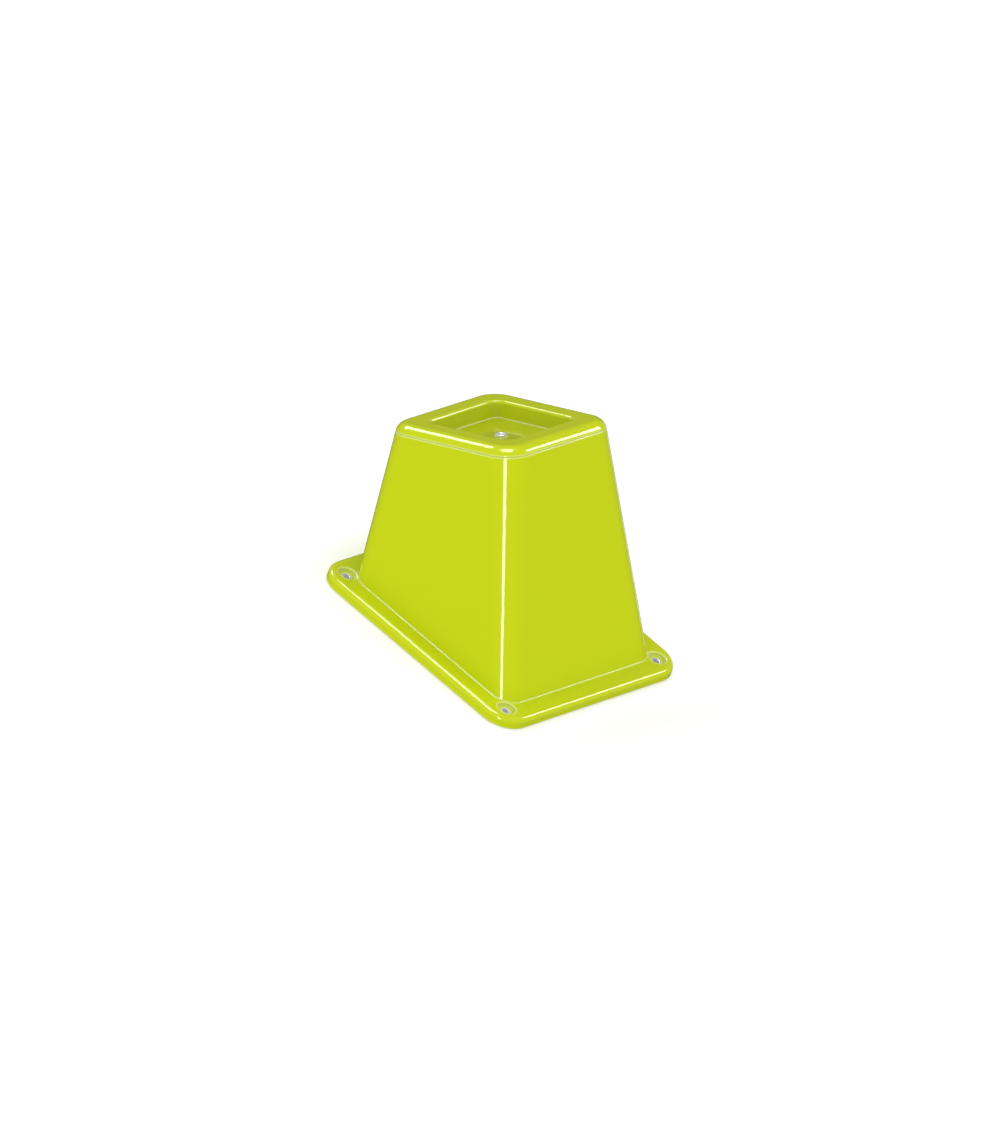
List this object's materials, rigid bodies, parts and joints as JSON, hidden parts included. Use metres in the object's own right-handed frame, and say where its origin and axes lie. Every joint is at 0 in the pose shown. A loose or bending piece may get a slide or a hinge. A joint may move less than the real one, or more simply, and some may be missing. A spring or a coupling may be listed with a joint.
{
  "type": "mounting block",
  "caption": "Hollow tapered mounting block with a bolting flange for a pitched surface and a level square socket with a central thread on top.",
  "frame": {"origin": "centre of the bolt circle, on the underside of the flange, in the plane that the block is bolted to", "axes": "+Z plumb, square to the level seat; +Y up the slope, so the flange rises 25.5 degrees toward +Y; +X level, along the flange's lower edge"},
  "size_m": [0.276, 0.2521, 0.2735],
  "materials": {
    "lime_plastic": "satin moulded, fine grain",
    "epdm": "matte black",
    "zinc_steel": "bright zinc plate",
    "brass": "turned",
    "web_plastic": "sawn sheet"
  },
  "bodies": {
    "root": {"body_shell": "lime_plastic", "top_cap": "lime_plastic", "cap_seal": "epdm", "base_gasket": "epdm", "flange_sleeves": "zinc_steel", "centre_bush": "zinc_steel", "backing_plate": "zinc_steel", "bush_washer": "zinc_steel", "bush_nut": "zinc_steel", "cap_inserts": "brass", "cap_washers": "zinc_steel", "cap_screws": "zinc_steel", "web_long": "web_plastic", "web_cross": "web_plastic"}
  },
  "joints": []
}
